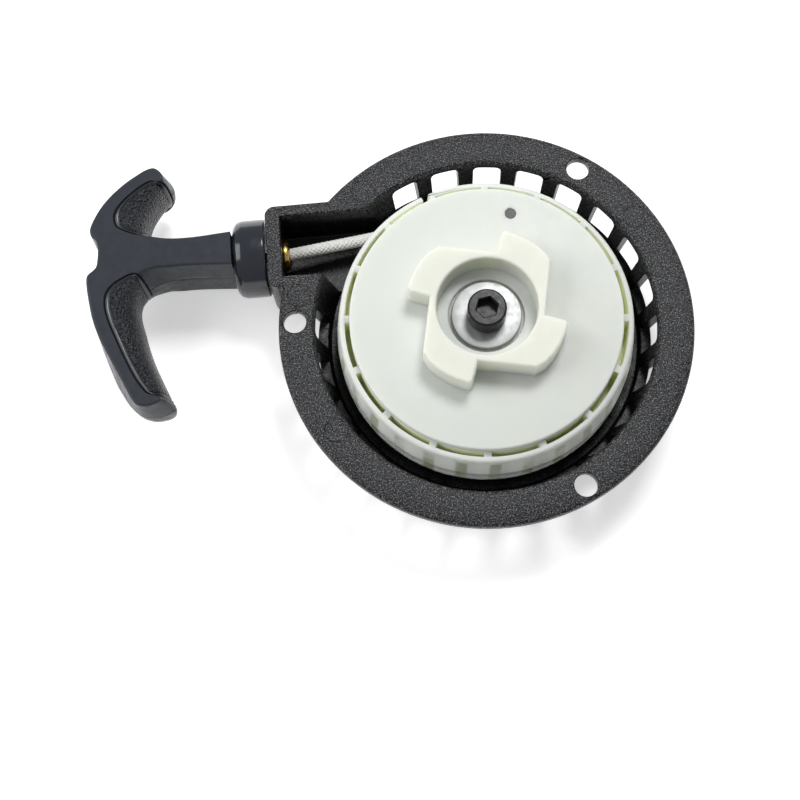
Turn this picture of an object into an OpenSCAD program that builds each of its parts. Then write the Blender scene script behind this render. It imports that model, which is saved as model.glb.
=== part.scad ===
// Recoil starter with a plastic cup housing, a clawed rope spool and a T-handle.
// Z = 0 is the mounting face of the flange and +Z points at the engine along the spool axis.
// The rope leaves towards -X.

/* [Housing] */
// Outer diameter of the mounting flange
flange_d = 108; // [100:1:130]
// Thickness of the flange
flange_t = 3; // [2.4:0.1:4]
// Width of the flange from its outer edge to the mouth of the cup
flange_w = 9.2; // [8.5:0.1:11]
// Depth of the cup from the mounting face to its floor
cup_depth = 16; // [15.5:0.5:22]
// Amount by which the cup's radius shrinks from its mouth to its floor
cup_taper = 3.4; // [1.5:0.1:4]
// Thickness of the cup's side wall
wall_t = 2.6; // [2:0.1:3.2]
// Thickness of the cup's floor
floor_t = 2.8; // [2.2:0.1:3.6]
// Diameter of the three mounting holes
bolt_hole_d = 6; // [5:0.1:7]
// Distance from the flange's outer edge to a mounting hole's centre
bolt_inset = 4.25; // [4.2:0.05:5]
// Angle of the first mounting hole about the spool axis
bolt_angle = 55; // [45:1:60]

/* [Vents] */
// Number of vent positions around the whole cup
vent_count = 24; // [18:1:26]
// Width of one vent window
vent_w = 7.4; // [5:0.1:8]
// Distance from the mounting face down to the top of a window
vent_top = 2.4; // [2:0.1:4]
// Height of a vent window
vent_h = 11.6; // [6:0.1:12]
// Angle of the first vent window
vent_angle = 9; // [0:1:14]

/* [Rope box] */
// Distance that the end wall of the rope box stands past the flange's edge
box_reach = 1.9; // [1:0.1:8]
// Distance of the rope's outlet from the spool axis, along Y
outlet_y = 26.2; // [25:0.1:30]
// Depth of the rope outlet's centre below the mounting face
outlet_depth = 8.9; // [8.8:0.1:10]
// Width of the box outside
box_w = 23; // [21:0.5:26]
// Thickness of the side walls of the box
box_wall = 3; // [2.4:0.1:4]
// Thickness of the end wall of the box
end_wall = 3.9; // [3:0.1:5]

/* [Spool] */
// Gap between the spool's rim and the cup's floor edge
spool_gap = 2.3; // [1.5:0.1:4]
// Height of the spool's slotted ledge above the mounting face
face_z = 2.6; // [1:0.1:5]
// Height of the raised front face above the slotted ledge
face_rise = 2.4; // [1:0.1:3]
// Height of the plain rim above the rope groove
rim_h = 9.6; // [8.6:0.1:9.8]
// Width of the rope groove
groove_w = 4; // [3.6:0.1:4.2]
// Radius of the bottom of the rope groove
groove_r = 24.5; // [23:0.5:26]
// Thickness of the lower cheek
cheek_t = 2; // [1.6:0.1:2.2]
// Number of curved slots around the front face
slot_count = 16; // [8:1:20]
// Width of a curved slot
slot_w = 1.3; // [0.8:0.1:1.6]
// Length of the bridge between two slots
bridge_w = 1.9; // [1.2:0.1:3]

/* [Claws] */
// Height of the claws above the raised front face
claw_h = 7.8; // [5:0.1:10]
// Radius of the claw tips
claw_r = 20.7; // [19:0.1:22]
// Radius at which a claw's leading face starts
claw_root_r = 14.7; // [14.3:0.1:15.5]
// Radius of the bore inside the claws
claw_bore_r = 12.8; // [11:0.1:13.2]
// Angle of the first claw's leading face
claw_angle = 74; // [60:1:80]

/* [Centre post and fasteners] */
// Radius of the moulded centre post
post_r = 6.3; // [5.8:0.1:7]
// Radial clearance between the post and the spool
post_clearance = 0.05; // [0.02:0.01:0.09]
// Diameter of the retaining washer
washer_d = 18; // [16:0.5:18.5]
// Thickness of the retaining washer
washer_t = 1.6; // [1:0.1:2]
// Thread diameter of the centre screw
screw_d = 6; // [5:0.5:6]
// Length of the centre screw under its head
screw_len = 16; // [12:1:16]

/* [Spring] */
// Radius of the spring's well in the cup's floor
well_r = 30; // [26:0.5:31]
// Depth of the well below the cup's floor
well_depth = 6.5; // [5:0.5:8]
// Thickness of the spring strip
strip_t = 0.5; // [0.3:0.1:0.6]
// Number of turns of the spring
spring_turns = 7; // [4:1:8]
// Thickness of the plate over the spring
plate_t = 0.8; // [0.5:0.1:1.2]

/* [Rope and handle] */
// Diameter of the rope
rope_d = 2.8; // [2.4:0.1:3]
// Radius of the collar between the handle and the rope box
collar_r = 10.5; // [9:0.1:12]
// Length of the collar
collar_len = 8.9; // [6:0.1:12]
// Distance from the collar to the middle of the handle's bar
bar_u = 33.3; // [30:0.1:40]
// Width of the bar where it meets the stem
bar_w = 12; // [10:0.5:13]
// Distance from the stem's axis to the middle of the short arm's tip
short_arm = 21; // [18:0.5:26]
// Distance from the stem's axis to the middle of the long arm's tip
long_arm = 37; // [31:0.5:44]
// Thickness of the handle
handle_t = 19.8; // [17:0.2:22]
// Width of the stem
stem_w = 8; // [7:0.2:10]

/* [Hidden] */
$fn = 64;
eps = 0.01;
overcut = 1;
part_gap = 0.3;

flange_r = flange_d / 2;
cup_r = flange_r - flange_w;
cup_floor_r = cup_r - cup_taper;
bolt_circle_r = flange_r - bolt_inset;
edge_round = 0.6;

floor_z = -cup_depth;
plate_z = floor_z - plate_t;
well_z = floor_z - well_depth;
back_wall = 2.4;
back_z = well_z - back_wall;
boss_r = well_r + back_wall;
plate_r = well_r + 2.5;

box_end = flange_r + box_reach;
outlet_z = -outlet_depth;
box_y0 = outlet_y - box_w / 2 - 0.4;
box_y1 = box_y0 + box_w;
box_corner = 2.6;
box_inner_end = box_end - end_wall;
channel_y0 = box_y0 + box_wall;
channel_y1 = box_y1 - box_wall;
channel_end = sqrt(pow(cup_floor_r, 2) - pow(channel_y1, 2));
box_root = channel_end - 3;

spool_r = cup_floor_r - spool_gap;
groove_top_z = face_z - rim_h;
groove_z = groove_top_z - groove_w;
cheek_z = groove_z - cheek_t;
hub_r = post_r + 3.3;
hub_z = well_z + part_gap;
bore_r = post_r + post_clearance;
slot_outer_r = spool_r - 2.5;
slot_depth = rim_h - 2;
rim_draft = 1.1;
rim_top_r = spool_r - rim_draft;

washer_r = washer_d / 2;
recess_r = washer_r + 0.8;
face_top_z = face_z + face_rise;
plateau_r = slot_outer_r - slot_w - 0.1;
face_round = 0.4;
recess_z = face_top_z - 1.3;
washer_z = recess_z + 0.25;
head_r = screw_d * 0.83;
head_z = washer_z + washer_t;
insert_r = screw_d / 2 + 1.6;
insert_len = 12;
claw_top_z = face_top_z + claw_h;

spring_out_r = well_r - 0.8;
spring_in_r = hub_r + 1.2;
spring_w = well_depth - plate_t - 0.7;

rope_r = rope_d / 2;
eyelet_body_r = rope_r + 1.6;
eyelet_flange_r = 4.3;
coil_gap = 0.05;
coil_r = groove_r + 6.4;
tangent_r = coil_r + rope_r + part_gap;
outlet_x = -box_inner_end;
tangent_a = atan2(outlet_y, outlet_x) - acos(tangent_r / norm([outlet_x, outlet_y]));
tangent_p = [tangent_r * cos(tangent_a), tangent_r * sin(tangent_a), groove_z + groove_w / 2];
outlet_p = [outlet_x, outlet_y, outlet_z];

pin_r = 1.45;
pin_ring_r = groove_r + 4.4;
pin_angle = 72;
rim_notch_angle = 110;
slot_angle = -94.7;
socket_turn = 10;
tie_r = pin_r + rope_d * 0.8;

collar_x = -(box_end + 0.4);
stem_x = collar_x - collar_len;
bar_x = stem_x - bar_u;
notch_depth = 4.3;
knot_r = 3.2;
knot_pocket_r = 4.8;
pocket_x = bar_x + bar_w * 0.35;
rope_bore_r = rope_r + 0.5;
short_sweep = short_arm * 0.57;
long_sweep = long_arm * 0.23;
short_tip_w = bar_w * 0.76;
long_tip_w = bar_w * 0.88;
root_fillet = 3;
notch_w = 10;
notch_offset = 1.4;
knot_washer_t = 1.2;
pad_t = 1.2;
handle_half = handle_t / 2;

// Angle of vent k and whether the rope box leaves room for it.
vent_half_angle = asin(vent_w / 2 / cup_floor_r) + 2;
box_start_angle = 180 - asin(box_y1 / cup_r);
box_stop_angle = 180 - asin(box_y0 / cup_r);
function vent_at(k) = vent_angle + k * 360 / vent_count;
function vent_is_open(a) =
    a < box_start_angle - vent_half_angle || a > box_stop_angle + vent_half_angle;

// ---- shared shapes ----

module revolve(points) {
    rotate_extrude($fn = 128) polygon(points);
}

module ring(r_in, r_out, z0, z1) {
    translate([0, 0, z0]) difference() {
        cylinder(r = r_out, h = z1 - z0);
        translate([0, 0, -overcut]) cylinder(r = r_in, h = z1 - z0 + 2 * overcut);
    }
}

// Puts a shape drawn along +Z on the rope's outlet line, pointing away from the housing at x.
module on_outlet(x) {
    translate([x, outlet_y, outlet_z]) rotate([0, -90, 0]) children();
}

module rod(p, q, r) {
    d = q - p;
    len = norm(d);
    translate(p) rotate([0, acos(d[2] / len), atan2(d[1], d[0])]) cylinder(r = r, h = len);
}

// ---- housing ----

module cup_outside() {
    revolve([
        [0, 0], [flange_r - edge_round, 0], [flange_r, -edge_round], [flange_r, -flange_t],
        [cup_r + wall_t, -flange_t], [cup_floor_r + wall_t, floor_z - floor_t + 1.5],
        [cup_floor_r + wall_t - 1.5, floor_z - floor_t], [boss_r, floor_z - floor_t],
        [boss_r, back_z + 1], [boss_r - 1, back_z], [0, back_z]
    ]);
}

module cup_inside() {
    revolve([
        [0, overcut], [cup_r + 0.4, overcut], [cup_r + 0.4, 0], [cup_r, -0.6],
        [cup_floor_r, floor_z], [plate_r, floor_z], [plate_r, plate_z],
        [well_r, plate_z], [well_r, well_z], [0, well_z]
    ]);
}

module box_outline() {
    x0 = -box_end;
    union() {
        translate([x0 + box_corner, box_y0]) square([box_end - box_root - box_corner, box_w]);
        translate([x0, box_y0 + box_corner]) square([box_corner, box_w - 2 * box_corner]);
        for (y = [box_y0 + box_corner, box_y1 - box_corner])
            translate([x0 + box_corner, y]) circle(r = box_corner);
    }
}

module vent_window() {
    corner = 1.4;
    rotate([90, 0, 90]) linear_extrude(cup_r + wall_t + 2) union() {
        translate([-vent_w / 2, -vent_top - vent_h]) square([vent_w, vent_h - corner]);
        translate([-vent_w / 2 + corner, -vent_top - vent_h]) square([vent_w - 2 * corner, vent_h]);
        for (y = [-1, 1]) translate([y * (vent_w / 2 - corner), -vent_top - corner]) circle(r = corner);
    }
}

module spring_notch() {
    translate([well_r - 1.5, -1.6, well_z]) cube([3.1, 3.2, plate_z - well_z]);
}

module back_ribs() {
    rib_t = 2;
    rib_h = 3;
    for (a = [0 : 45 : 315]) rotate(a)
        translate([boss_r - 0.5, -rib_t / 2, floor_z - floor_t - rib_h])
            cube([cup_floor_r - boss_r - 1, rib_t, rib_h + 0.5]);
}

module housing() {
    color([0.09, 0.09, 0.1]) difference() {
        union() {
            difference() {
                union() {
                    cup_outside();
                    translate([0, 0, floor_z - floor_t])
                        linear_extrude(-floor_z + floor_t) box_outline();
                    back_ribs();
                }
                cup_inside();
                translate([-box_inner_end, channel_y0, floor_z])
                    cube([box_inner_end - channel_end, channel_y1 - channel_y0, cup_depth + overcut]);
                difference() {
                    for (k = [0 : vent_count - 1])
                        if (vent_is_open(vent_at(k))) rotate(vent_at(k)) vent_window();
                    translate([0, 0, back_z]) cylinder(r = cup_floor_r - 2, h = -back_z + overcut);
                }
                spring_notch();
            }
            translate([0, 0, well_z - eps]) cylinder(r = post_r, h = washer_z - well_z + eps);
        }
        for (k = [0 : 2]) rotate(bolt_angle + 120 * k)
            translate([bolt_circle_r, 0, -flange_t - wall_t - 6])
                cylinder(d = bolt_hole_d, h = flange_t + wall_t + 6 + overcut);
        on_outlet(-box_inner_end + overcut) cylinder(r = eyelet_body_r, h = end_wall + 2 * overcut);
        translate([0, 0, washer_z - insert_len]) cylinder(r = insert_r, h = insert_len + overcut);
        translate([0, 0, washer_z - screw_len - 2]) cylinder(r = screw_d / 2, h = screw_len + 2);
    }
}

module post_insert() {
    color([0.78, 0.62, 0.3])
        ring(screw_d / 2, insert_r, washer_z - insert_len, washer_z);
}

module rope_eyelet() {
    lip = 1.3;
    bore = rope_r + 0.55;
    color([0.83, 0.66, 0.32]) on_outlet(-box_inner_end) revolve([
        [bore, end_wall], [eyelet_body_r, end_wall], [eyelet_body_r, 0], [eyelet_flange_r, 0],
        [eyelet_flange_r, -lip / 2], [eyelet_flange_r - lip / 2, -lip], [bore + 0.6, -lip], [bore, -0.6]
    ]);
}

// ---- spring ----

function spiral_r(a) = spring_out_r - (spring_out_r - spring_in_r) * a / (360 * spring_turns);
function spiral_pt(a, off) = [(spiral_r(a) + off) * cos(a), (spiral_r(a) + off) * sin(a)];

module main_spring() {
    step = 15;
    last = 360 * spring_turns;
    color([0.45, 0.47, 0.5]) translate([0, 0, well_z + 0.2]) union() {
        linear_extrude(spring_w) polygon([
            for (a = [0 : step : last]) spiral_pt(a, strip_t / 2),
            for (a = [last : -step : 0]) spiral_pt(a, -strip_t / 2)
        ]);
        translate([spring_out_r - strip_t / 2, 0, 0]) cube([2, strip_t, spring_w]);
        translate([spring_in_r - 2.2, 0, 0]) cube([2.2, strip_t, spring_w]);
    }
}

module spring_plate() {
    color([0.62, 0.64, 0.66]) ring(hub_r + 1.5, plate_r - 0.2, plate_z, plate_z + plate_t);
}

// ---- spool ----

module spool_body() {
    revolve([
        [bore_r, hub_z], [hub_r, hub_z], [hub_r, cheek_z], [spool_r, cheek_z], [spool_r, groove_z],
        [groove_r, groove_z], [groove_r, groove_top_z], [spool_r, groove_top_z],
        [rim_top_r, face_z - 0.5], [rim_top_r - 0.5, face_z],
        [plateau_r, face_z],
        for (a = [0 : 30 : 90]) [plateau_r, face_top_z - face_round] + face_round * [cos(a) - 1, sin(a)],
        [bore_r, face_top_z]
    ]);
}

module claws() {
    lean = 1.5;
    outline = [
        for (k = [0 : 3]) let (a = claw_angle - 90 * k) each [
            claw_root_r * [cos(a + lean), sin(a + lean)],
            (claw_r - 0.8) * [cos(a), sin(a)],
            for (s = [-2 : -8 : -42]) (claw_r - (s == -42 ? 0.5 : 0)) * [cos(a + s), sin(a + s)]
        ]
    ];
    translate([0, 0, face_top_z - 0.5]) linear_extrude(claw_h + 0.5) polygon(outline);
}

module face_slots() {
    difference() {
        ring(slot_outer_r - slot_w, slot_outer_r, face_z - slot_depth, face_z + overcut);
        for (k = [0 : slot_count - 1]) rotate(slot_angle + k * 360 / slot_count)
            translate([slot_outer_r - 2 * slot_w, -bridge_w / 2, face_z - slot_depth - overcut])
                cube([3 * slot_w, bridge_w, slot_depth + 3 * overcut]);
    }
}

module underside_pockets() {
    pocket_z1 = face_z - 3;
    rib_t = 2;
    difference() {
        ring(hub_r + 2.4, groove_r - 2.2, cheek_z - overcut, pocket_z1);
        for (k = [0 : 7]) rotate(k * 45)
            translate([0, -rib_t / 2, cheek_z - 2 * overcut]) cube([groove_r, rib_t, 30]);
    }
}

module spool() {
    color([0.88, 0.9, 0.86]) difference() {
        union() {
            spool_body();
            claws();
        }
        face_slots();
        underside_pockets();
        translate([0, 0, face_top_z]) cylinder(r = claw_bore_r, h = claw_h + overcut);
        translate([0, 0, recess_z]) cylinder(r = recess_r, h = claw_h);
        translate([0, 0, hub_z - overcut]) cylinder(r = bore_r, h = 40);
        rotate(pin_angle) translate([pin_ring_r, 0, cheek_z - overcut]) cylinder(r = pin_r, h = 30);
        rotate(rim_notch_angle) translate([rim_top_r - 1.6, -1, groove_top_z - overcut])
            cube([4, 2, rim_h + 2 * overcut]);
        translate([spring_in_r - 2.6, -0.8, hub_z - overcut]) cube([3, 2.1, spring_w + 2.4]);
    }
}

module rope_anchor_pin() {
    color([0.42, 0.44, 0.45]) rotate(pin_angle)
        translate([pin_ring_r, 0, cheek_z]) cylinder(r = pin_r, h = face_top_z - 0.2 - cheek_z);
}

module rope_tie() {
    color([0.9, 0.9, 0.88]) rotate(pin_angle) translate([pin_ring_r, 0, 0])
        ring(pin_r, tie_r, groove_z + 0.4, groove_top_z - 0.4);
}

module rope_coil() {
    color([0.92, 0.92, 0.9]) difference() {
        ring(groove_r + coil_gap, coil_r, groove_z + 0.5, groove_top_z - 0.5);
        rotate(pin_angle) translate([pin_ring_r, 0, groove_z]) cylinder(r = tie_r, h = groove_w);
    }
}

// ---- centre fasteners ----

module retaining_washer() {
    color([0.62, 0.64, 0.66]) ring(screw_d / 2 + 0.2, washer_r, washer_z, washer_z + washer_t);
}

module centre_screw() {
    shank_r = screw_d / 2 - 0.02;
    head_h = screw_d;
    socket_r = screw_d * 0.48;
    color([0.13, 0.13, 0.14]) difference() {
        revolve([
            [0, head_z - screw_len], [shank_r - 0.6, head_z - screw_len],
            [shank_r, head_z - screw_len + 0.6], [shank_r, head_z], [head_r, head_z],
            [head_r, head_z + head_h - 0.5], [head_r - 0.5, head_z + head_h], [0, head_z + head_h]
        ]);
        translate([0, 0, head_z + head_h / 2]) rotate(socket_turn)
            cylinder(r = socket_r, h = head_h, $fn = 6);
    }
}

// ---- rope ----

module rope_run() {
    knot_face = [pocket_x - knot_washer_t, outlet_y, outlet_z];
    color([0.92, 0.92, 0.9]) union() {
        rod(tangent_p, outlet_p, rope_r);
        translate(outlet_p) sphere(r = rope_r);
        rod(outlet_p, knot_face, rope_r);
    }
}

module handle_knot() {
    color([0.92, 0.92, 0.9]) on_outlet(pocket_x - knot_washer_t)
        rotate_extrude() intersection() {
            translate([0, knot_r]) circle(r = knot_r);
            square([knot_r, 2 * knot_r]);
        }
}

module knot_washer() {
    color([0.62, 0.64, 0.66]) on_outlet(pocket_x)
        difference() {
            cylinder(r = knot_pocket_r - 0.3, h = knot_washer_t);
            translate([0, 0, -overcut]) cylinder(r = rope_r + 0.15, h = knot_washer_t + 2 * overcut);
        }
}

// ---- handle ----

module collar() {
    shoulder = 2.4;
    color([0.07, 0.07, 0.08]) on_outlet(collar_x) revolve([
        [rope_bore_r, 0], [collar_r - 0.4, 0], [collar_r, 0.4], [collar_r, collar_len - shoulder],
        [collar_r - shoulder * 0.3, collar_len - shoulder * 0.3], [collar_r - shoulder, collar_len],
        [rope_bore_r, collar_len]
    ]);
}

// Point at a distance v from the stem's axis and a distance off from the arm's centre line,
// measured square to that line. side is +1 for the short arm and -1 for the long one.
function arm_point(v, reach, sweep, side, off) =
    let (slope = 2 * sweep * v / pow(reach, 2), len = sqrt(1 + slope * slope))
    [sweep * pow(v / reach, 2) - bar_u + off / len, side * (v - off * slope / len)];

function arm_half(v, reach, tip_w) = (bar_w + (tip_w - bar_w) * v / reach) / 2;

// Edge of one arm, from its root on the housing's side, around its tip, to its root outside.
// inset draws it smaller all round.
function arm_edge(reach, sweep, tip_w, side, inset) =
    let (first = stem_w / 2 + root_fillet, step = (reach - first) / 8,
        tilt = atan(2 * sweep / reach), tip_r = tip_w / 2 - inset,
        tip = arm_point(reach, reach, sweep, side, 0))
    concat(
        [for (v = [first + step : step : reach + eps])
            arm_point(v, reach, sweep, side, arm_half(v, reach, tip_w) - inset)],
        [for (t = [15 : 15 : 165]) tip + tip_r * [cos(t - tilt), side * sin(t - tilt)]],
        [for (v = [reach : -step : first - eps])
            arm_point(v, reach, sweep, side, inset - arm_half(v, reach, tip_w))]
    );

// Concave corner between the stem and an arm.
function root_corner(side, inset) =
    let (corner_x = bar_w / 2 - bar_u - inset, corner_v = stem_w / 2 - inset)
    [for (t = [0 : 15 : 90])
        [corner_x + root_fillet * (1 - sin(t)), side * (corner_v + root_fillet * (1 - cos(t)))]];

function reversed(list) = [for (i = [len(list) - 1 : -1 : 0]) list[i]];

module handle_2d(inset) {
    stem_half = stem_w / 2 + 0.6 - inset;
    polygon(concat(
        [[0, stem_half]], root_corner(1, inset),
        arm_edge(short_arm, short_sweep, short_tip_w, 1, inset),
        reversed(arm_edge(long_arm, long_sweep, long_tip_w, -1, inset)),
        reversed(root_corner(-1, inset)),
        [[0, -stem_half]]
    ));
}

// Strip of an arm that the grip pad covers, on the side towards the housing.
module pad_2d(reach, sweep, side) {
    first = reach * 0.36;
    step = (reach - first) / 6;
    polygon([
        for (v = [first : step : reach + eps]) arm_point(v, reach, sweep, side, -1),
        for (v = [reach : -step : first - eps]) arm_point(v, reach, sweep, side, bar_w / 2 + 2)
    ]);
}

module at_handle() {
    translate([stem_x, outlet_y, outlet_z]) children();
}

// A grip pad wraps over the front face, the inner side and the back face of its arm.
module grip_pad(reach, sweep, side) {
    at_handle() difference() {
        translate([0, 0, -handle_half]) linear_extrude(handle_t) intersection() {
            pad_2d(reach, sweep, side);
            handle_2d(0);
        }
        translate([0, 0, -handle_half + pad_t]) linear_extrude(handle_t - 2 * pad_t) handle_2d(pad_t);
    }
}

module handle_solid() {
    difference() {
        at_handle() translate([0, 0, -handle_half]) linear_extrude(handle_t) handle_2d(0);
        grip_pad(short_arm, short_sweep, 1);
        grip_pad(long_arm, long_sweep, -1);
        on_outlet(stem_x + overcut) cylinder(r = rope_bore_r, h = bar_u + bar_w);
        on_outlet(pocket_x) cylinder(r = knot_pocket_r, h = bar_w * 2);
        at_handle()
            translate([-bar_u - bar_w / 2 - overcut, notch_offset - notch_w / 2, -handle_half - overcut])
                cube([notch_depth + overcut, notch_w, handle_t + 2 * overcut]);
    }
}

module handle_front() {
    color([0.08, 0.08, 0.1]) intersection() {
        handle_solid();
        translate([bar_x - 40, outlet_y - 70, outlet_z]) cube([120, 140, handle_t]);
    }
}

module handle_back() {
    color([0.08, 0.08, 0.1]) intersection() {
        handle_solid();
        translate([bar_x - 40, outlet_y - 70, outlet_z - handle_t]) cube([120, 140, handle_t]);
    }
}

module grip_pad_short() {
    color([0.12, 0.12, 0.13]) grip_pad(short_arm, short_sweep, 1);
}

module grip_pad_long() {
    color([0.12, 0.12, 0.13]) grip_pad(long_arm, long_sweep, -1);
}

housing();
post_insert();
rope_eyelet();
main_spring();
spring_plate();
spool();
rope_anchor_pin();
rope_tie();
rope_coil();
retaining_washer();
centre_screw();
rope_run();
collar();
handle_front();
handle_back();
grip_pad_short();
grip_pad_long();
handle_knot();
knot_washer();
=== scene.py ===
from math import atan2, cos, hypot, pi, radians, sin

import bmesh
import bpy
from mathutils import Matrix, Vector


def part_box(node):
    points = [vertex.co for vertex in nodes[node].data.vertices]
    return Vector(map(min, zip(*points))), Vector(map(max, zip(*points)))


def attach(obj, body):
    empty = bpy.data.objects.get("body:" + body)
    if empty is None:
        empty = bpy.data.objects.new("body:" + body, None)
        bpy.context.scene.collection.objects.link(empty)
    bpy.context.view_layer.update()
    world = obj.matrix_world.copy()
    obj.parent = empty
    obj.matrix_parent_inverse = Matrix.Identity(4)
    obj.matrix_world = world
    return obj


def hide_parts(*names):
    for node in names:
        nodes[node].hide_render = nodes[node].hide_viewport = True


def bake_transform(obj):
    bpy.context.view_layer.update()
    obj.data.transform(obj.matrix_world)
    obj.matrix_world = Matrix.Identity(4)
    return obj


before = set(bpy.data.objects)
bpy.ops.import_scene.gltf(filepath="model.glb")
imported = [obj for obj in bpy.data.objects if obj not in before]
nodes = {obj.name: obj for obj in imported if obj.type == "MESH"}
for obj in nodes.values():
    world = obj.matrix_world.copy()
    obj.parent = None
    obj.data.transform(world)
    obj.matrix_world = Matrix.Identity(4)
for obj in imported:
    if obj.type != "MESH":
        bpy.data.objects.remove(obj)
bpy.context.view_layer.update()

# %% [markdown]
# # A recoil starter
# The pull starter of a small two-stroke engine: a black moulded cup with vents, a white nylon spool
# with four claws, a screw and washer in the middle, and a rope that runs through a brass eyelet to a
# T-handle. The exact solids are loaded already, one object for each real piece. This lesson gives each
# one its real edges, texture and finish. All lengths are metres, so mm() turns millimetres into them.


def mm(*values):
    """Millimetres to metres: one number, or several as a vector."""
    return values[0] / 1000 if len(values) == 1 else Vector(values) / 1000


print("CAD nodes:", len(nodes))

# %% [markdown]
# ## Camera, floor and light
# The starter lies on its closed back and is looked down on, a little from the rope side. A lens of
# about 63 mm at 0.36 m gives the same slight perspective as a product shot. The floor is white and
# glows a little. With two soft lamps and a pale sky, that keeps the shadows faint.

# %% Camera
camera = bpy.data.objects.new("camera", bpy.data.cameras.new("camera"))
bpy.context.scene.collection.objects.link(camera)
camera.data.lens = 62.63
camera.data.sensor_width = 36
camera.data.clip_start = 0.01
camera.location = (-0.02184, -0.11451, 0.34307)
camera.rotation_euler = (radians(15.462), radians(1.582), radians(-4.4945))
bpy.context.scene.camera = camera
print("camera at", tuple(camera.location))

# %% Floor and lamps
floor_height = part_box("housing")[0].z - mm(0.05)
bm = bmesh.new()
bmesh.ops.create_grid(bm, x_segments=1, y_segments=1, size=3.0)
bmesh.ops.translate(bm, vec=(0, 0, floor_height), verts=bm.verts)
floor_mesh = bpy.data.meshes.new("floor")
bm.to_mesh(floor_mesh)
bm.free()
floor = bpy.data.objects.new("floor", floor_mesh)
bpy.context.scene.collection.objects.link(floor)
floor_paint = bpy.data.materials.new("white_floor")
floor_paint.use_nodes = True
floor_paint.node_tree.nodes["Principled BSDF"].inputs["Base Color"].default_value = (0.93, 0.93, 0.93, 1)
floor_paint.node_tree.nodes["Principled BSDF"].inputs["Roughness"].default_value = 0.9
floor_paint.node_tree.nodes["Principled BSDF"].inputs["Emission Color"].default_value = (1, 1, 1, 1)
floor_paint.node_tree.nodes["Principled BSDF"].inputs["Emission Strength"].default_value = 0.45
floor_mesh.materials.append(floor_paint)


def lamp(name, place, target, size, power):
    """A square soft lamp that looks at a point."""
    data = bpy.data.lights.new(name, "AREA")
    data.size = size
    data.energy = power
    light = bpy.data.objects.new(name, data)
    light.location = place
    light.rotation_euler = (Vector(target) - Vector(place)).to_track_quat("-Z", "Y").to_euler()
    bpy.context.scene.collection.objects.link(light)
    return light


lamp("key_lamp", (-0.75, 0.15, 0.6), (-0.02, 0.0, 0.0), 0.7, 5.5)
lamp("glare_lamp", (0.22, 0.47, 0.92), (0.03, 0.03, 0.0), 0.3, 6.5)
sky = bpy.data.worlds.new("pale_sky")
sky.use_nodes = True
sky.node_tree.nodes["Background"].inputs["Color"].default_value = (1.0, 1.0, 1.0, 1)
sky.node_tree.nodes["Background"].inputs["Strength"].default_value = 0.33
bpy.context.scene.world = sky
bpy.context.scene.view_settings.view_transform = "Standard"
print("floor at", round(floor_height, 4))

# %% [markdown]
# ## Building materials in code
# A material is a small graph of nodes. Paint() keeps that short: it makes a Principled shader, and its
# methods add the usual helpers, such as noise, a colour ramp and a bump. All patterns read Object
# coordinates, in metres, so a scale of 2000 gives grains of about half a millimetre.

# %% Node helper


class Paint:
    """A Principled material with short ways to add pattern nodes."""

    def __init__(self, name, colour, roughness, **constants):
        self.material = bpy.data.materials.new(name)
        self.material.use_nodes = True
        self.tree = self.material.node_tree
        self.shader = self.tree.nodes["Principled BSDF"]
        self.set("Base Color", (*colour, 1))
        self.set("Roughness", roughness)
        for key, value in constants.items():
            self.set(key.replace("_", " "), value)
        self.place = self.node("ShaderNodeTexCoord").outputs["Object"]

    def node(self, kind, **settings):
        made = self.tree.nodes.new(kind)
        for key, value in settings.items():
            setattr(made, key, value)
        return made

    def link(self, output, socket):
        self.tree.links.new(output, socket)

    def set(self, socket, value):
        self.shader.inputs[socket].default_value = value

    def into(self, output, socket):
        self.link(output, self.shader.inputs[socket])

    def noise(self, scale, detail=2.0, roughness=0.5, place=None):
        made = self.node("ShaderNodeTexNoise")
        made.inputs["Scale"].default_value = scale
        made.inputs["Detail"].default_value = detail
        made.inputs["Roughness"].default_value = roughness
        self.link(place or self.place, made.inputs["Vector"])
        return made.outputs["Fac"]

    def cells(self, scale, feature="F1", place=None):
        made = self.node("ShaderNodeTexVoronoi", feature=feature)
        made.inputs["Scale"].default_value = scale
        self.link(place or self.place, made.inputs["Vector"])
        return made.outputs["Distance"]

    def math(self, operation, a, b=0.0, c=0.0):
        made = self.node("ShaderNodeMath", operation=operation)
        for socket, value in zip(made.inputs, (a, b, c)):
            if isinstance(value, (int, float)):
                socket.default_value = value
            else:
                self.link(value, socket)
        return made.outputs["Value"]

    def stretch(self, value, low, high, to_low=0.0, to_high=1.0, smooth=True):
        made = self.node("ShaderNodeMapRange", interpolation_type="SMOOTHSTEP" if smooth else "LINEAR")
        self.link(value, made.inputs["Value"])
        for socket, number in zip(("From Min", "From Max", "To Min", "To Max"), (low, high, to_low, to_high)):
            made.inputs[socket].default_value = number
        return made.outputs["Result"]

    def mix(self, factor, first, second):
        made = self.node("ShaderNodeMix", data_type="RGBA")
        self.link(factor, made.inputs["Factor"])
        for socket, value in ((made.inputs[6], first), (made.inputs[7], second)):
            if isinstance(value, tuple):
                socket.default_value = (*value, 1)
            else:
                self.link(value, socket)
        return made.outputs[2]

    def axes(self):
        made = self.node("ShaderNodeSeparateXYZ")
        self.link(self.place, made.inputs["Vector"])
        return made.outputs["X"], made.outputs["Y"], made.outputs["Z"]

    def bump(self, height, strength, distance, after=None):
        made = self.node("ShaderNodeBump")
        made.inputs["Strength"].default_value = strength
        made.inputs["Distance"].default_value = distance
        self.link(height, made.inputs["Height"])
        if after:
            self.link(after, made.inputs["Normal"])
        return made.outputs["Normal"]


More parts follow.
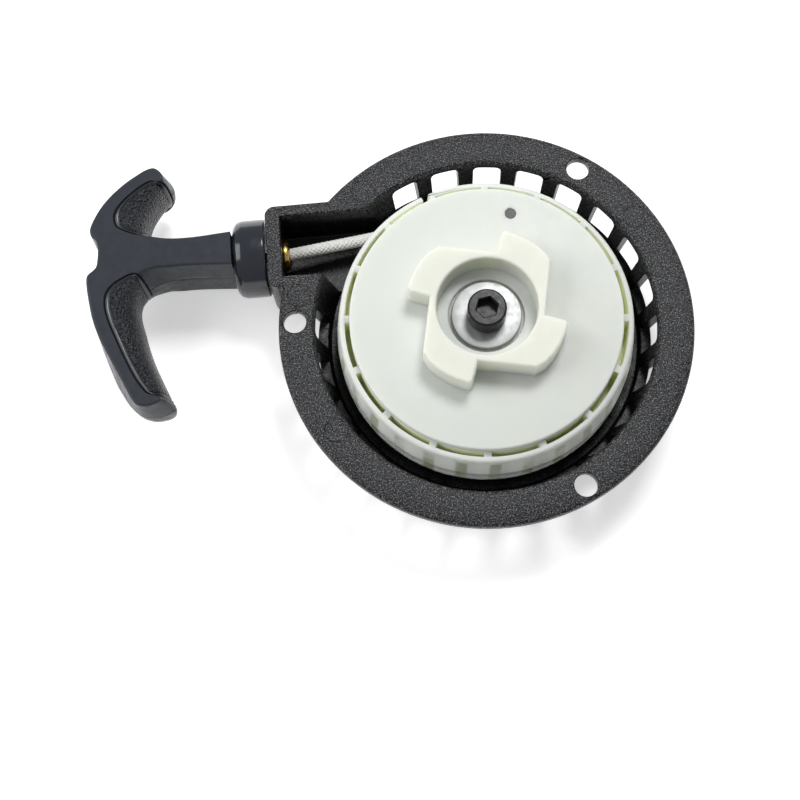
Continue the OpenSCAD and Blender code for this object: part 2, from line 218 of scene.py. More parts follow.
# %% [markdown]
# ## Finishes of the plastics
# The housing is glass-filled nylon from a coarse spark-eroded mould: its flange and rims are a field of
# tiny dark bumps with bright specks painted on them as the grain's glints, and its inner walls are smoother.
# The spool is natural nylon, creamy and slightly translucent, so it gets subsurface scattering; its darker
# rib bands, brighter slots and lighter claw tops are painted shade and light. The handle is a smoother, bluish black.

# %% Housing plastic: coarse grain on the faces that look up, finer inside
housing_paint = Paint("coarse_black_plastic", (0.012, 0.012, 0.013), 0.30, Specular_IOR_Level=0.32)
x, y, z = housing_paint.axes()
on_top = housing_paint.stretch(z, mm(-3.2), mm(-0.9))
coarse = housing_paint.noise(1150, 3.0, 0.7)
fine = housing_paint.noise(3800, 2.0, 0.6)
grain = housing_paint.math("MULTIPLY", coarse, housing_paint.stretch(on_top, 0, 1, 0.15, 1.0))
grain = housing_paint.math("ADD", grain, housing_paint.math("MULTIPLY", fine, 0.25))
housing_paint.into(housing_paint.bump(grain, 1.0, mm(0.3)), "Normal")
# Painted highlight: bright specks on the up-facing faces stand for the glints of the coarse grain.
painted_glint = housing_paint.stretch(housing_paint.noise(2900, 2.0, 0.6), 0.53, 0.66)
painted_glint = housing_paint.math("MULTIPLY", painted_glint, on_top)
housing_paint.into(housing_paint.mix(painted_glint, (0.003, 0.0033, 0.0045), (0.19, 0.195, 0.21)), "Base Color")
housing_paint.into(housing_paint.stretch(coarse, 0.3, 0.7, 0.23, 0.36), "Roughness")
print("made", housing_paint.material.name)

# %% Spool nylon: creamy and soft, with painted shade for the inner rib pattern seen through the rim's wall, and painted light in the slots and on the claws' tops
nylon_paint = Paint(
    "natural_nylon", (0.70, 0.73, 0.68), 0.36,
    Subsurface_Weight=0.8, Subsurface_Radius=(0.0030, 0.0034, 0.0024), Subsurface_Scale=1.0,
    Specular_IOR_Level=0.4,
)
x, y, z = nylon_paint.axes()
angle = nylon_paint.math("ARCTAN2", y, x)
# Painted shade: darker bands round the rim stand for the hidden inner rib pattern seen through the translucent wall.
painted_rib_shade = nylon_paint.math("SINE", nylon_paint.math("MULTIPLY_ADD", angle, 28.0, 2.4))
radius = nylon_paint.math("SQRT", nylon_paint.math("ADD", nylon_paint.math("POWER", x, 2.0),
                                                   nylon_paint.math("POWER", y, 2.0)))
on_rim = nylon_paint.math("MULTIPLY", nylon_paint.stretch(radius, mm(37.6), mm(38.1)),
                          nylon_paint.stretch(z, mm(1.2), mm(-0.6)))
painted_rib_shade = nylon_paint.math("MULTIPLY", nylon_paint.stretch(painted_rib_shade, 0.15, 0.8), on_rim)
painted_rib_shade = nylon_paint.math("MULTIPLY", painted_rib_shade, nylon_paint.stretch(nylon_paint.noise(90), 0.35, 0.6, 0.2, 0.95))
# A random cloudy tone of the nylon. The same colour then takes the painted light of the claws and the slots below.
tone_and_painted_light = nylon_paint.mix(nylon_paint.noise(60, 3.0), (0.66, 0.695, 0.665), (0.69, 0.71, 0.66))
# Painted light: the claws are made lighter and yellower towards their tops, standing for light through the translucent
# nylon.
claw_painted_light = nylon_paint.stretch(z, mm(5.1), mm(7.5))
tone_and_painted_light = nylon_paint.mix(claw_painted_light, tone_and_painted_light, (0.73, 0.74, 0.665))
# Painted light: the slots' walls are made brighter, standing for light through the translucent nylon where they would
# be in shade.
slot_painted_light = nylon_paint.math("MULTIPLY", nylon_paint.stretch(radius, mm(35.1), mm(35.2)),
                           nylon_paint.stretch(radius, mm(36.75), mm(36.65)))
slot_painted_light = nylon_paint.math("MULTIPLY", slot_painted_light, nylon_paint.stretch(z, mm(2.3), mm(1.2)))
tone_and_painted_light = nylon_paint.mix(slot_painted_light, tone_and_painted_light, (0.84, 0.87, 0.60))
nylon_paint.into(nylon_paint.mix(painted_rib_shade, tone_and_painted_light, (0.36, 0.38, 0.28)), "Base Color")
nylon_paint.into(nylon_paint.bump(nylon_paint.noise(2600, 2.0), 0.25, mm(0.05)), "Normal")
nylon_paint.into(nylon_paint.stretch(nylon_paint.noise(300, 3.0), 0.3, 0.7, 0.44, 0.52), "Roughness")

# %% Handle plastic and the grained grip
handle_paint = Paint("smooth_black_plastic", (0.036, 0.040, 0.049), 0.3, Specular_IOR_Level=0.4, IOR=1.25)
scuffs = handle_paint.noise(420, 4.0, 0.6)
handle_paint.into(handle_paint.stretch(scuffs, 0.35, 0.7, 0.26, 0.42), "Roughness")
handle_paint.into(handle_paint.bump(handle_paint.noise(2400, 2.0), 0.18, mm(0.05)), "Normal")

collar_paint = Paint("gloss_black_plastic", (0.018, 0.021, 0.029), 0.14, Specular_IOR_Level=0.4, Coat_Weight=0.3,
                     Coat_Roughness=0.08)
collar_paint.into(collar_paint.bump(collar_paint.noise(900, 2.0), 0.10, mm(0.05)), "Normal")
collar_paint.into(collar_paint.stretch(collar_paint.noise(600, 3.0), 0.3, 0.7, 0.13, 0.22), "Roughness")

grip_paint = Paint("grained_grip", (0.014, 0.015, 0.018), 0.30, Specular_IOR_Level=0.45)
inside = grip_paint.node("ShaderNodeAttribute", attribute_name="inside").outputs["Fac"]
grained = grip_paint.stretch(inside, 0.0014, 0.0018)
wrinkles = grip_paint.cells(1500, "F1")
pores = grip_paint.noise(2000, 3.0, 0.7)
hide = grip_paint.math("ADD", grip_paint.math("MULTIPLY", wrinkles, 0.7), grip_paint.math("MULTIPLY", pores, 0.5))
grip_paint.into(grip_paint.bump(grip_paint.math("MULTIPLY", hide, grained), 1.0, mm(1.8)), "Normal")
specks = grip_paint.math("MULTIPLY", grip_paint.stretch(pores, 0.42, 0.62), grained)
grip_paint.into(grip_paint.mix(specks, (0.014, 0.016, 0.021), (0.064, 0.068, 0.078)), "Base Color")

# %% [markdown]
# ## Finishes of the metals and the rope
# The eyelet is turned brass. The washer is zinc plated with fine turning marks, and the screw is black
# oxide. The rope is a white braid, so its material only adds the grey flecks and the fibres.

# %% Metals
brass_paint = Paint("polished_brass", (0.72, 0.50, 0.16), 0.2, Metallic=1.0)
brass_paint.into(brass_paint.stretch(brass_paint.noise(700, 3.0), 0.3, 0.7, 0.12, 0.3), "Roughness")
brass_paint.into(brass_paint.mix(brass_paint.noise(500, 2.0), (0.60, 0.40, 0.11), (0.80, 0.58, 0.22)), "Base Color")

zinc_paint = Paint("zinc_plate", (0.50, 0.51, 0.51), 0.38, Metallic=1.0)
x, y, z = zinc_paint.axes()
radius = zinc_paint.math("SQRT", zinc_paint.math("ADD", zinc_paint.math("POWER", x, 2.0),
                                                 zinc_paint.math("POWER", y, 2.0)))
turning = zinc_paint.math("SINE", zinc_paint.math("MULTIPLY", radius, 22000.0))
blotch = zinc_paint.noise(420, 4.0, 0.6)
zinc_paint.into(zinc_paint.bump(turning, 0.25, mm(0.02)), "Normal")
zinc_paint.into(zinc_paint.mix(blotch, (0.30, 0.31, 0.31), (0.46, 0.47, 0.46)), "Base Color")
zinc_paint.into(zinc_paint.stretch(blotch, 0.3, 0.7, 0.40, 0.56), "Roughness")

black_steel_paint = Paint("black_oxide", (0.010, 0.010, 0.011), 0.28, Metallic=0.3)
black_steel_paint.into(black_steel_paint.bump(black_steel_paint.noise(3000, 2.0), 0.3, mm(0.04)), "Normal")
black_steel_paint.into(black_steel_paint.stretch(black_steel_paint.noise(900, 3.0), 0.3, 0.7, 0.26, 0.44), "Roughness")

pin_paint = Paint("dull_steel", (0.16, 0.165, 0.165), 0.6, Metallic=0.3)
pin_paint.into(pin_paint.mix(pin_paint.noise(1500, 3.0), (0.06, 0.065, 0.065), (0.16, 0.165, 0.16)), "Base Color")

spring_paint = Paint("blued_spring", (0.22, 0.25, 0.31), 0.3, Metallic=1.0)
spring_paint.into(spring_paint.stretch(spring_paint.noise(800, 3.0), 0.3, 0.7, 0.22, 0.42), "Roughness")

rope_paint = Paint("white_braid", (0.72, 0.72, 0.70), 0.7, Sheen_Weight=0.25, Sheen_Roughness=0.5)
flecks = rope_paint.stretch(rope_paint.noise(2500, 2.0, 0.6), 0.50, 0.7)
rope_paint.into(rope_paint.mix(flecks, (0.74, 0.74, 0.71), (0.48, 0.48, 0.46)), "Base Color")
rope_paint.into(rope_paint.bump(rope_paint.noise(6000, 2.0), 0.5, mm(0.08)), "Normal")
print("materials:", len(bpy.data.materials))

# %% Mesh tools


def finish(name, bm, paint, body, slot, *stands_for, sharp=38, recalc=True):
    """Make an object from a bmesh, shade it, and put it on its body."""
    if recalc:
        bmesh.ops.recalc_face_normals(bm, faces=bm.faces)
    mesh = bpy.data.meshes.new(name)
    bm.to_mesh(mesh)
    bm.free()
    mesh.shade_smooth()
    mesh.set_sharp_from_angle(angle=radians(sharp))
    mesh.materials.append(paint.material)
    made = bpy.data.objects.new(name, mesh)
    bpy.context.scene.collection.objects.link(made)
    if stands_for:
        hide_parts(*stands_for)
    if body:
        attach(made, body)
    print(f"{name}: {len(mesh.polygons)} faces")
    return made


def turned(profile, rounding, steps, place=None, segments=3, closed=True):
    """Spin a half profile of (radius, height) points round Z, with its corners rounded first."""
    bm = bmesh.new()
    corners = [bm.verts.new(mm(r, 0, h)) for r, h in profile]
    for a, b in zip(corners, corners[1:]):
        bm.edges.new((a, b))
    if closed:
        bm.edges.new((corners[-1], corners[0]))
    if rounding:
        sharp = [v for v in bm.verts if len(v.link_edges) == 2]
        bmesh.ops.bevel(bm, geom=sharp, offset=mm(rounding), segments=segments, profile=0.5,
                        affect="VERTICES", material=-1, clamp_overlap=True)
    bmesh.ops.spin(bm, geom=bm.verts[:] + bm.edges[:], cent=(0, 0, 0), axis=(0, 0, 1), angle=2 * pi,
                   steps=steps, use_merge=True)
    bmesh.ops.remove_doubles(bm, verts=bm.verts, dist=1e-6)
    if place is not None:
        bmesh.ops.transform(bm, matrix=place, verts=bm.verts)
    return bm


def softened_copy(node, angle=32, weigh=None, flat=0.0):
    """A merged copy of a CAD node whose sharp edges are marked for a bevel."""
    bm = bmesh.new()
    bm.from_mesh(nodes[node].data)
    bmesh.ops.remove_doubles(bm, verts=bm.verts, dist=mm(0.004))
    bmesh.ops.dissolve_degenerate(bm, edges=bm.edges, dist=mm(0.02))
    if flat:
        bmesh.ops.dissolve_limit(bm, angle_limit=radians(flat), verts=bm.verts, edges=bm.edges)
    layer = bm.edges.layers.float.new("bevel_weight_edge")
    marked = 0
    for edge in bm.edges:
        if len(edge.link_faces) == 2 and edge.calc_face_angle(0) > radians(angle):
            edge[layer] = weigh(edge) if weigh else 1.0
            marked += 1
    print(f"{node}: {marked} edges to round")
    return bm


def round_edges(made, width, segments=2):
    """Round the marked edges with a Bevel modifier."""
    rounds = made.modifiers.new("rounded_edges", "BEVEL")
    rounds.limit_method = "WEIGHT"
    rounds.width = mm(width)
    rounds.segments = segments
    rounds.use_clamp_overlap = False
    rounds.harden_normals = True
    return made


# %% [markdown]
# ## Housing
# The cup, flange, rope box and centre post are one moulding, and the CAD solid already has the right
# shape. So a merged copy gets small rounds on its edges, and the coarse material does the rest.

# %% Housing
bm = softened_copy("housing")
housing = finish("housing_moulding", bm, housing_paint, "casing", "housing_plastic", "housing", recalc=False)
round_edges(housing, 0.35)

# %% Ejector pin marks: five thin raised rings on the flange
marks = ((49.1, 126.5), (49.4, 166.4), (48.1, -147.8), (49.5, -26.8), (49.3, 31.6))
bm = bmesh.new()
for reach, turn in marks:
    ring = turned([(2.87, -0.08), (3.27, -0.08), (3.13, 0.16), (2.99, 0.16)], 0, 40)
    bmesh.ops.translate(ring, vec=mm(reach * cos(radians(turn)), reach * sin(radians(turn)), 0), verts=ring.verts)
    part = bpy.data.meshes.new("ring")
    ring.to_mesh(part)
    ring.free()
    bm.from_mesh(part)
    bpy.data.meshes.remove(part)
ejector_marks = finish("ejector_marks", bm, housing_paint, "casing", "housing_plastic")

# %% [markdown]
# ## Spool
# One nylon moulding: a disc with sixteen curved slots, a deep rim and four claws. The claws take the
# wear, so their edges are moulded with a bigger round than the rim and the slots.

# %% Spool
def spool_round(edge):
    """Big rounds on the claws, small ones on the face and rim, none next to the slots."""
    low = min(v.co.z for v in edge.verts)
    reach = min(v.co.xy.length for v in edge.verts)
    if reach > mm(34.8) and reach < mm(35.6):
        return 0.0
    return 1.0 if low > mm(5.2) else 0.12 if reach > mm(36.2) and reach < mm(37) else 0.42


bm = softened_copy("spool", flat=0.6, weigh=spool_round)
spool = finish("nylon_spool", bm, nylon_paint, "reel", "spool_nylon", "spool", recalc=False)
round_edges(spool, 0.6, 3)

# %% [markdown]
# ## Washer, screw and small steel parts
# The washer is a flat ring with rounded edges from stamping. The screw is an M6 socket cap screw: a
# turned head with a chamfer, and a six-sided socket pulled inward and down from the head's open rim.

# %% Washer
washer = finish("washer", turned([(3.2, 3.95), (9.0, 3.95), (9.0, 5.55), (3.2, 5.55)], 0.22, 96), zinc_paint,
                "casing", "plated_steel", "retaining_washer")

# %% Screw
def hexagon(turn, across):
    """Distance from the middle of a hexagon to its edge in a direction."""
    return mm(across / 2) / cos((turn - radians(10)) % radians(60) - radians(30))


bm = turned([(0.0, -10.45), (2.4, -10.45), (2.98, -9.85), (2.98, 5.55), (4.98, 5.55), (4.98, 11.05), (4.5, 11.55)],
            0, 96, closed=False)
rim = [e for e in bm.edges if e.is_boundary and e.verts[0].co.z > mm(11)]
for across, height in ((5.5, 11.55), (5.0, 11.3), (5.0, 8.3)):
    pulled = bmesh.ops.extrude_edge_only(bm, edges=rim)["geom"]
    rim = [g for g in pulled if isinstance(g, bmesh.types.BMEdge)]
    for vert in (g for g in pulled if isinstance(g, bmesh.types.BMVert)):
        turn = atan2(vert.co.y, vert.co.x)
        reach = hexagon(turn, across)
        vert.co = Vector((reach * cos(turn), reach * sin(turn), mm(height)))
bmesh.ops.contextual_create(bm, geom=rim)
bottom = [e for e in bm.edges if e.is_boundary]
print("screw: open edges", len(bottom))
screw = finish("socket_screw", bm, black_steel_paint, "casing", "black_steel", "centre_screw", sharp=30)

# %% [markdown]
# ## Rope eyelet and rope
# The eyelet is a brass ferrule with a rolled bell mouth, so the rope doesn't wear. The rope is a braid:
# two sets of strands wind in opposite ways and pass over and under each other. The stretch inside the
# box is real relief on a fine tube. The stretch through the handle grows out of the eyelet when the
# handle is pulled, so it is a plain tube put on neither body, and its braid is a bump
# on Object coordinates, which doesn't stretch.

# %% Places along the rope's outlet
outlet = mm(-52.0, 26.2, -8.9)
knot_face = mm(-96.1, 26.2, -8.9)
leave_spool = mm(-4.15, 32.33, -9.0)


def along_outlet(x):
    """Turn +Z to point out of the box, and move to x millimetres on the outlet's line."""
    return Matrix.Translation((mm(x), outlet.y, outlet.z)) @ Matrix.Rotation(radians(-90), 4, "Y")


eyelet = finish("brass_eyelet", turned([(1.95, 3.9), (3.0, 3.9), (3.0, 0.0), (4.4, 0.0), (4.5, -0.8), (4.1, -1.7),
                                        (3.1, -2.0), (1.95, -0.9)], 0.3, 64, along_outlet(-52.0)),
                brass_paint, "casing", "brass", "rope_eyelet", sharp=50)

# %% Braided tube


def strands(turn, length, pitch=0.62, count=4):
    """Height of the braid at an angle and a length in mm, from 0 between strands to 1 on top of one."""
    left, right = count * (turn + pitch * length), count * (turn - pitch * length)
    over = 0.78 + 0.22 * (1 if sin(left) * sin(right) > 0 else -1)
    under = 1.56 - over
    return max(abs(cos(left)) ** 0.6 * over, abs(cos(right)) ** 0.6 * under)


def tube(points, radius, around, relief=0.0, start=0.0):
    """Sweep a circle along points, pushing out each ring's verts by the braid's relief."""
    bm = bmesh.new()
    circle = bmesh.ops.create_circle(bm, segments=around, radius=1.0)["verts"]
    turns = [atan2(v.co.y, v.co.x) for v in circle]
    edges = list(bm.edges)
    travelled = start
    for index, point in enumerate(points):
        if index:
            pulled = bmesh.ops.extrude_edge_only(bm, edges=edges)["geom"]
            edges = [g for g in pulled if isinstance(g, bmesh.types.BMEdge)]
            fresh = {g for g in pulled if isinstance(g, bmesh.types.BMVert)}
            circle = [next(e.other_vert(v) for e in v.link_edges if e.other_vert(v) in fresh) for v in circle]
            travelled += (point - points[index - 1]).length * 1000
        ahead = points[min(index + 1, len(points) - 1)] - points[max(index - 1, 0)]
        side = ahead.cross(Vector((0, 0, 1))).normalized()
        up = side.cross(ahead).normalized()
        for vert, turn in zip(circle, turns):
            reach = radius + (relief * (strands(turn, travelled) - 0.7) if relief else 0)
            vert.co = point + mm(reach) * (cos(turn) * side + sin(turn) * up)
    for ring in (edges, [e for e in bm.edges if e.is_boundary and e not in set(edges)]):
        bmesh.ops.contextual_create(bm, geom=ring)
    return bm


def line(start, stop, count):
    return [start.lerp(stop, i / count) for i in range(count + 1)]


rope_inside = finish("rope_to_spool", tube(line(leave_spool, outlet + mm(-1.5, 0, 0), 330), 1.5, 64, 0.42), rope_paint,
                     "casing", "rope", "rope_run", sharp=80)

# %% The rope through the handle
braid_paint = Paint("white_braid_bump", (0.72, 0.72, 0.70), 0.7, Sheen_Weight=0.25, Sheen_Roughness=0.5)
x, y, z = braid_paint.axes()
turn = braid_paint.math("ARCTAN2", braid_paint.math("SUBTRACT", z, outlet.z), braid_paint.math("SUBTRACT", y, outlet.y))
run = braid_paint.math("MULTIPLY", x, 2480.0)
left = braid_paint.math("ABSOLUTE", braid_paint.math("COSINE", braid_paint.math("MULTIPLY_ADD", turn, 4.0, run)))
right = braid_paint.math("ABSOLUTE", braid_paint.math("COSINE", braid_paint.math("SUBTRACT", braid_paint.math(
    "MULTIPLY", turn, 4.0), run)))
weave = braid_paint.math("MAXIMUM", left, braid_paint.math("MULTIPLY", right, 0.9))
braid_paint.into(braid_paint.bump(weave, 1.0, mm(0.25)), "Normal")
flecks = braid_paint.stretch(braid_paint.noise(1500, 2.0, 0.6), 0.50, 0.66)
braid_paint.into(braid_paint.mix(flecks, (0.76, 0.76, 0.74), (0.34, 0.34, 0.33)), "Base Color")
rope_outside = finish("rope_to_handle", tube(line(outlet + mm(0.5, 0, 0), knot_face, 80), 1.4, 32), braid_paint,
                      None, "rope", "rope_run", sharp=80)
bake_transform(rope_outside)

# %% Rope wound on the spool, in a flat spiral of turns
turns_wound = [mm(r * cos(a), r * sin(a), -9.0) for r, a in
               ((26.0 + 3.3 * i / 260, radians(92 + 2.55 * 360 * i / 260)) for i in range(261))]
rope_wound = finish("rope_wound", tube(turns_wound, 1.32, 20), rope_paint, "reel", "rope", "rope_coil", sharp=80)

# %% [markdown]
# ## Collar
# A glossy bush with a big rounded shoulder where it meets the handle. It is turned.

# %% Collar
collar = finish("collar_bush", turned([(1.9, 0.0), (10.2, 0.0), (10.5, 0.35), (10.5, 6.3), (10.1, 7.6), (9.1, 8.5),
                                       (7.6, 8.9), (1.9, 8.9)], 0.45, 128, along_outlet(-56.3)),
                collar_paint, "pull", "handle_plastic", "collar", sharp=60)

# %% [markdown]
# ## Handle
# The T-handle is two moulded halves with a grip pad let into each arm. Each half is like a pie: a flat
# top, and an edge that rolls down to the seam. Seen from above, both the seam's outline and the flat
# top's outline are smooth curves through a few stations, so the edge is made by pulling a row of edges
# from the top's outline out and down to the seam, ring by ring. Where the edge is plain it drops like
# a wall with a small round. Where a pad is let in it rolls down in a quarter ellipse.

# %% Stations round the handle: seam outline, top outline, and 1 where a pad is let in
stations = (
    (-65.2, -4.8, -65.2, -4.1, 0), (-71.4, -4.4, -71.4, -3.6, 0), (-77.0, -4.1, -77.0, -3.3, 0),
    (-82.0, -4.3, -82.0, -3.2, 0), (-85.0, -4.9, -84.8, -3.1, 0), (-87.3, -5.7, -88.2, -3.8, 0.3),
    (-89.3, -7.0, -91.6, -4.8, 1), (-90.6, -9.0, -94.6, -6.1, 1), (-91.2, -11.3, -97.2, -7.8, 1),
    (-91.2, -13.5, -98.9, -10.3, 1), (-90.8, -16.0, -99.2, -13.6, 1), (-90.2, -18.4, -98.4, -17.5, 1),
    (-89.2, -22.9, -96.6, -22.4, 1), (-87.8, -27.5, -94.5, -27.8, 1), (-86.0, -32.1, -92.2, -33.0, 1),
    (-84.6, -35.5, -90.3, -36.2, 1), (-83.4, -38.3, -88.6, -38.3, 0.7), (-82.9, -39.8, -86.4, -39.5, 0.4),
    (-83.5, -41.0, -86.0, -40.2, 0.1), (-86.0, -42.0, -87.4, -40.7, 0), (-89.0, -42.2, -89.4, -40.8, 0),
    (-91.8, -41.4, -91.0, -40.2, 0), (-94.2, -39.3, -92.2, -38.6, 0), (-96.0, -36.6, -93.4, -36.0, 0),
    (-98.2, -32.2, -95.4, -31.8, 0), (-100.1, -27.0, -97.7, -27.0, 0), (-101.8, -22.0, -99.9, -22.0, 0),
    (-103.1, -17.0, -101.5, -17.0, 0), (-103.9, -12.0, -102.4, -12.0, 0), (-104.3, -8.0, -102.9, -8.0, 0),
    (-104.3, -5.4, -103.0, -5.7, 0), (-103.6, -4.3, -102.6, -4.5, 0), (-102.3, -3.4, -101.5, -3.5, 0),
    (-101.2, -2.3, -100.5, -2.4, 0), (-100.8, -0.5, -100.1, -0.5, 0), (-100.6, 2.5, -99.9, 2.5, 0),
    (-101.1, 5.0, -100.4, 5.1, 0), (-102.2, 6.2, -101.3, 6.5, 0), (-103.0, 7.2, -101.8, 7.8, 0),
    (-103.1, 9.0, -101.6, 9.3, 0), (-102.0, 12.0, -100.3, 11.9, 0), (-100.0, 15.3, -98.3, 14.9, 0),
    (-97.1, 18.6, -95.5, 17.9, 0), (-93.2, 21.8, -91.9, 20.8, 0), (-89.0, 24.5, -88.0, 23.2, 0),
    (-86.6, 25.6, -86.2, 24.0, 0), (-84.6, 25.8, -84.9, 24.1, 0), (-82.6, 24.9, -83.8, 23.2, 0),
    (-81.4, 23.2, -83.2, 22.0, 0), (-81.2, 21.8, -83.3, 21.0, 0.3), (-81.7, 20.5, -84.2, 20.8, 1),
    (-82.6, 19.3, -85.9, 21.1, 1), (-83.6, 18.0, -88.8, 19.7, 1), (-84.8, 16.4, -91.9, 17.4, 1),
    (-86.0, 14.6, -94.4, 15.0, 1), (-87.0, 12.8, -95.9, 12.6, 1), (-87.7, 11.0, -96.1, 10.3, 1),
    (-88.0, 9.4, -95.3, 8.4, 1), (-87.7, 8.0, -92.9, 6.9, 1), (-86.9, 6.6, -89.5, 5.5, 0.6),
    (-85.4, 5.4, -86.3, 4.5, 0), (-83.0, 4.6, -83.2, 3.7, 0), (-79.0, 4.2, -79.0, 3.3, 0),
    (-74.0, 4.2, -74.0, 3.4, 0), (-69.0, 4.5, -69.0, 3.8, 0), (-65.2, 4.8, -65.2, 4.1, 0),
)
pad_spans = ((5.6, 16.5), (50.0, 59.2))
seam_z, half_height = -8.9, 9.9
drops = (0, 0.02, 0.04, 0.06, 0.08, 0.1, 0.125, 0.15, 0.18, 0.22, 0.27, 0.33, 0.4, 0.48, 0.57, 0.67, 0.78, 0.89, 1.0)


def ease(value, low, high):
    t = min(max((value - low) / (high - low), 0), 1)
    return t * t * (3 - 2 * t)


def between(values, at):
    """Smooth curve through the values (Catmull-Rom) at a fractional index."""
    i = min(int(at), len(values) - 2)
    t = at - i
    a, b, c, d = (values[min(max(j, 0), len(values) - 1)] for j in (i - 1, i, i + 1, i + 2))
    return 0.5 * (2 * b + (c - a) * t + (2 * a - 5 * b + 4 * c - d) * t * t + (3 * b - a - 3 * c + d) * t ** 3)


def edge_point(seam, top, pad, drop, square=3.2):
    """A point on the handle's edge: drop runs from 0 at the flat top to 1 at the seam."""
    out = seam - top
    width = out.length
    small = min(0.75, 0.8 * width)
    share = drop / 0.27
    if share < 1:
        wall = (small * sin(share * pi / 2), small * (1 - cos(share * pi / 2)))
    else:
        down = (drop - 0.27) / 0.73
        wall = (small + (width - small) * down, small + (half_height - small) * down)
    across, up = sin(drop * pi / 2), cos(drop * pi / 2)
    size = (across ** square + up ** square) ** (1 / square)
    rolled = (width * across / size, half_height * (1 - up / size))
    reach, fall = (w + (r - w) * pad for w, r in zip(wall, rolled))
    place = top + out * (reach / width if width else 0)
    return Vector((place.x, place.y + 26.2, seam_z + half_height - fall))


def edge_columns(inset, square):
    """All the columns of points round the handle. The back's flat face is inset more at the short arm."""
    made = []
    for step in range(12 * (len(stations) - 1) + 1):
        px, py, tx, ty, pad = (between([s[k] for s in stations], step / 12) for k in range(5))
        seam, top = Vector((px, py)), Vector((tx, ty))
        if inset:
            at = step / 12
            more = 2.6 * ease(at, 44, 48) * (1 - ease(at, 57, 60)) + 1.8 * ease(at, 15, 18) * (1 - ease(at, 21, 24))
            top += (top - seam).normalized() * more
            pad = max(pad, min(more, 1))
        made.append([edge_point(seam, top, min(max(pad, 0), 1), d, square) for d in drops])
    first, last = made[0], made[-1]
    for step in range(1, 8):
        made.append([b.lerp(a, step / 8) for a, b in zip(first, last)])
    return made


columns = edge_columns(False, 3.2)
back_columns = edge_columns(True, 2.2)
print("handle edge:", len(columns), "columns of", len(drops), "points")

# %% Which points lie under a pad, and how deep its pocket is


def facing(grid, i, k):
    """Outward direction of the edge surface at a grid point."""
    side = grid[(i + 1) % len(grid)][k] - grid[i - 1][k]
    down = grid[i][min(k + 1, len(drops) - 1)] - grid[i][max(k - 1, 0)]
    normal = side.cross(down)
    return normal.normalized() if normal.length else Vector((0, 0, 1))


def length_along(points):
    """Length walked along the points so far, one number for each."""
    walked = [0.0]
    for a, b in zip(points, points[1:]):
        walked.append(walked[-1] + (b - a).length)
    return walked


down_lengths = [length_along(c) for c in columns]
row_lengths = [length_along([c[k] for c in columns]) for k in range(len(drops))]


def inside_pad(i, k, span, corner=2.2):
    """How far inside the pad's outline a grid point is, in mm, with rounded corners."""
    first, last = (int(round(12 * edge)) for edge in span)
    ends = min(row_lengths[k][i] - row_lengths[k][first], row_lengths[k][last] - row_lengths[k][i])
    top = down_lengths[i][k]
    if ends < 0:
        return ends
    return corner - hypot(max(corner - ends, 0), max(corner - top, 0))


def depth_of_pocket(i, k):
    return max(0.9 * ease(inside_pad(i, k, span), 0.0, 0.3) for span in pad_spans)


def depth_of_pad(far_in):
    """The pad's lip is rounded, then a fine groove runs round inside it."""
    lip = 0.6 * (1 - ease(far_in, 0.2, 0.75))
    groove = 0.3 * max(0, 1 - abs(far_in - 1.6) / 0.4)
    return 0.02 + lip + groove + 0.08 * ease(far_in, 1.6, 2.0)


# %% Pull the rings


def pull_rings(rows, closed):
    """Make the first row as a loop of edges, and extrude it through the other rows."""
    bm = bmesh.new()
    verts = [bm.verts.new(mm(*p)) for p in rows[0]]
    edges = [bm.edges.new(pair) for pair in zip(verts, verts[1:])]
    if closed:
        edges.append(bm.edges.new((verts[-1], verts[0])))
    for row in rows[1:]:
        pulled = bmesh.ops.extrude_edge_only(bm, edges=edges)["geom"]
        edges = [g for g in pulled if isinstance(g, bmesh.types.BMEdge)]
        fresh = {g for g in pulled if isinstance(g, bmesh.types.BMVert)}
        verts = [next(e.other_vert(v) for e in v.link_edges if e.other_vert(v) in fresh) for v in verts]
        for vert, place in zip(verts, row):
            vert.co = mm(*place)
    return bm


def flip(bm):
    """Mirror a mesh in the seam's plane."""
    bmesh.ops.scale(bm, vec=(1, 1, -1), space=Matrix.Translation((0, 0, mm(-seam_z))), verts=bm.verts)


def handle_half(name, node, grid, back):
    """One half: its edge rings, a narrow bevel down into the seam, and flat faces top and bottom."""
    rows = [[c[k] - facing(grid, i, k) * depth_of_pocket(i, k) for i, c in enumerate(grid)]
            for k in range(len(drops))]
    middle = Vector((-85.0, 26.2, seam_z))
    last = [Vector((p.x, p.y, seam_z + 0.14)) for p in rows[-1]]
    inset = [Vector((p.x, p.y, seam_z)) + 0.16 * (middle - p).normalized() for p in last]
    rows[-1] = last
    bm = pull_rings(rows + [inset], closed=True)
    open_edges = [e for e in bm.edges if e.is_boundary]
    for upper in (True, False):
        ring = [e for e in open_edges if (e.verts[0].co.z > mm(seam_z + 5)) == upper]
        made = bmesh.ops.contextual_create(bm, geom=ring)["faces"]
        if upper:
            bmesh.ops.inset_region(bm, faces=made, thickness=mm(0.15), use_even_offset=True)
    if back:
        flip(bm)
    return finish(name, bm, handle_paint, "pull", "handle_plastic", node, sharp=40)


front_half = handle_half("handle_front_half", "handle_front", columns, False)
back_half = handle_half("handle_back_half", "handle_back", back_columns, True)

# %% [markdown]
# ## Grip pads
# Each pad is a skin moulded to the handle's edge: the same rings, from one end of the pocket to the
# other, with rounded corners, a rounded lip, a fine groove, and thickness inward.

# %% Grip pads


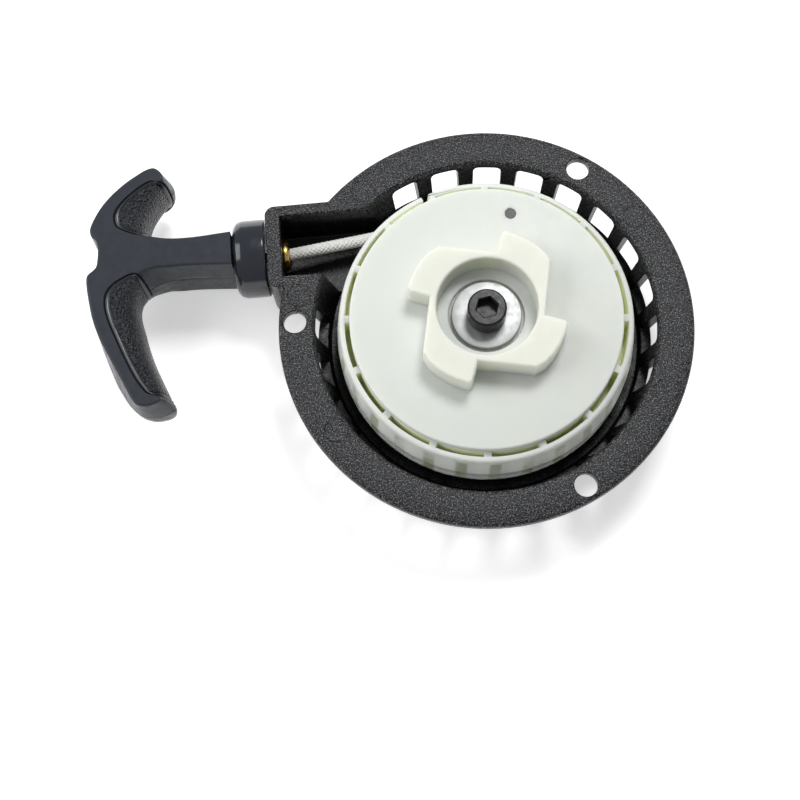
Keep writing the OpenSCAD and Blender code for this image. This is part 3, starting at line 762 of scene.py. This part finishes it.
def grip_pad(name, span, *stands_for):
    """A skin over one pocket, on the front and the back half."""
    whole = bmesh.new()
    first, last = (int(round(12 * edge)) for edge in span)
    for grid, back in ((columns, False), (back_columns, True)):
        reach = {(i, k): inside_pad(i, k, span) for i in range(first, last + 1) for k in range(len(drops))}
        rows = [[grid[i][k] - facing(grid, i, k) * depth_of_pad(max(reach[i, k], 0)) for i in range(first, last + 1)]
                for k in range(1, len(drops))]
        bm = pull_rings(rows, closed=False)
        bm.verts.ensure_lookup_table()
        outside = {tuple(mm(*rows[k - 1][i - first])) for (i, k), far in reach.items() if k and far < 0.001}
        bmesh.ops.delete(bm, geom=[v for v in bm.verts if tuple(v.co) in outside], context="VERTS")
        far_in = {tuple(mm(*rows[k - 1][i - first])): far for (i, k), far in reach.items() if k}
        layer = bm.verts.layers.float.new("inside")
        for vert in bm.verts:
            vert[layer] = mm(far_in.get(tuple(vert.co), 3.0))
        if back:
            flip(bm)
            bmesh.ops.reverse_faces(bm, faces=bm.faces)
        part = bpy.data.meshes.new("pad_part")
        bm.to_mesh(part)
        bm.free()
        whole.from_mesh(part)
        bpy.data.meshes.remove(part)
    bmesh.ops.remove_doubles(whole, verts=whole.verts, dist=mm(0.05))
    bmesh.ops.recalc_face_normals(whole, faces=whole.faces)
    bmesh.ops.solidify(whole, geom=whole.faces[:], thickness=mm(0.6))
    return finish(name, whole, grip_paint, "pull", "grip", *stands_for, sharp=60)


long_pad = grip_pad("grip_pad_long_arm", pad_spans[0], "grip_pad_long")
short_pad = grip_pad("grip_pad_short_arm", pad_spans[1], "grip_pad_short")
# %% [markdown]
# ## Knot, pins and hidden parts
# The rope ends in a knot that a small washer keeps from pulling through. The anchor pin is a plain
# steel pin with a chamfered end. The spring, its plate, the brass insert and the rope's tie are
# already right as solids, so they only need their finish.

# %% Knot, its washer and the anchor pin
low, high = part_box("handle_knot")
knot_size, knot_middle = (high - low) / 2, (low + high) / 2
loops = []
for step in range(97):
    turn = 2 * pi * step / 96
    wide = 2 + cos(3 * turn)
    loops.append(knot_middle + Vector((sin(3 * turn) * 0.66 * knot_size.x, wide * cos(2 * turn) * 0.185 * knot_size.y,
                                       wide * sin(2 * turn) * 0.185 * knot_size.z)))
knot = finish("stop_knot", tube(loops, 1.15, 20), rope_paint, "pull", "rope", "handle_knot", sharp=80)

low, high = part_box("rope_anchor_pin")
bm = turned([(0.0, low.z * 1000), (1.45, low.z * 1000), (1.45, high.z * 1000 - 0.2), (1.25, high.z * 1000),
             (0.0, high.z * 1000)], 0, 40, Matrix.Translation(((low + high) / 2).xy.to_3d()), closed=False)
anchor = finish("anchor_pin", bm, pin_paint, "reel", "pin_steel", "rope_anchor_pin", sharp=35)

# %% Finishes of the parts that stay as they are
for name, paint in (("rope_tie", rope_paint), ("main_spring", spring_paint), ("spring_plate", zinc_paint),
                    ("post_insert", brass_paint), ("knot_washer", zinc_paint)):
    nodes[name].data.materials.clear()
    nodes[name].data.materials.append(paint.material)
    print(name, "is", paint.material.name)
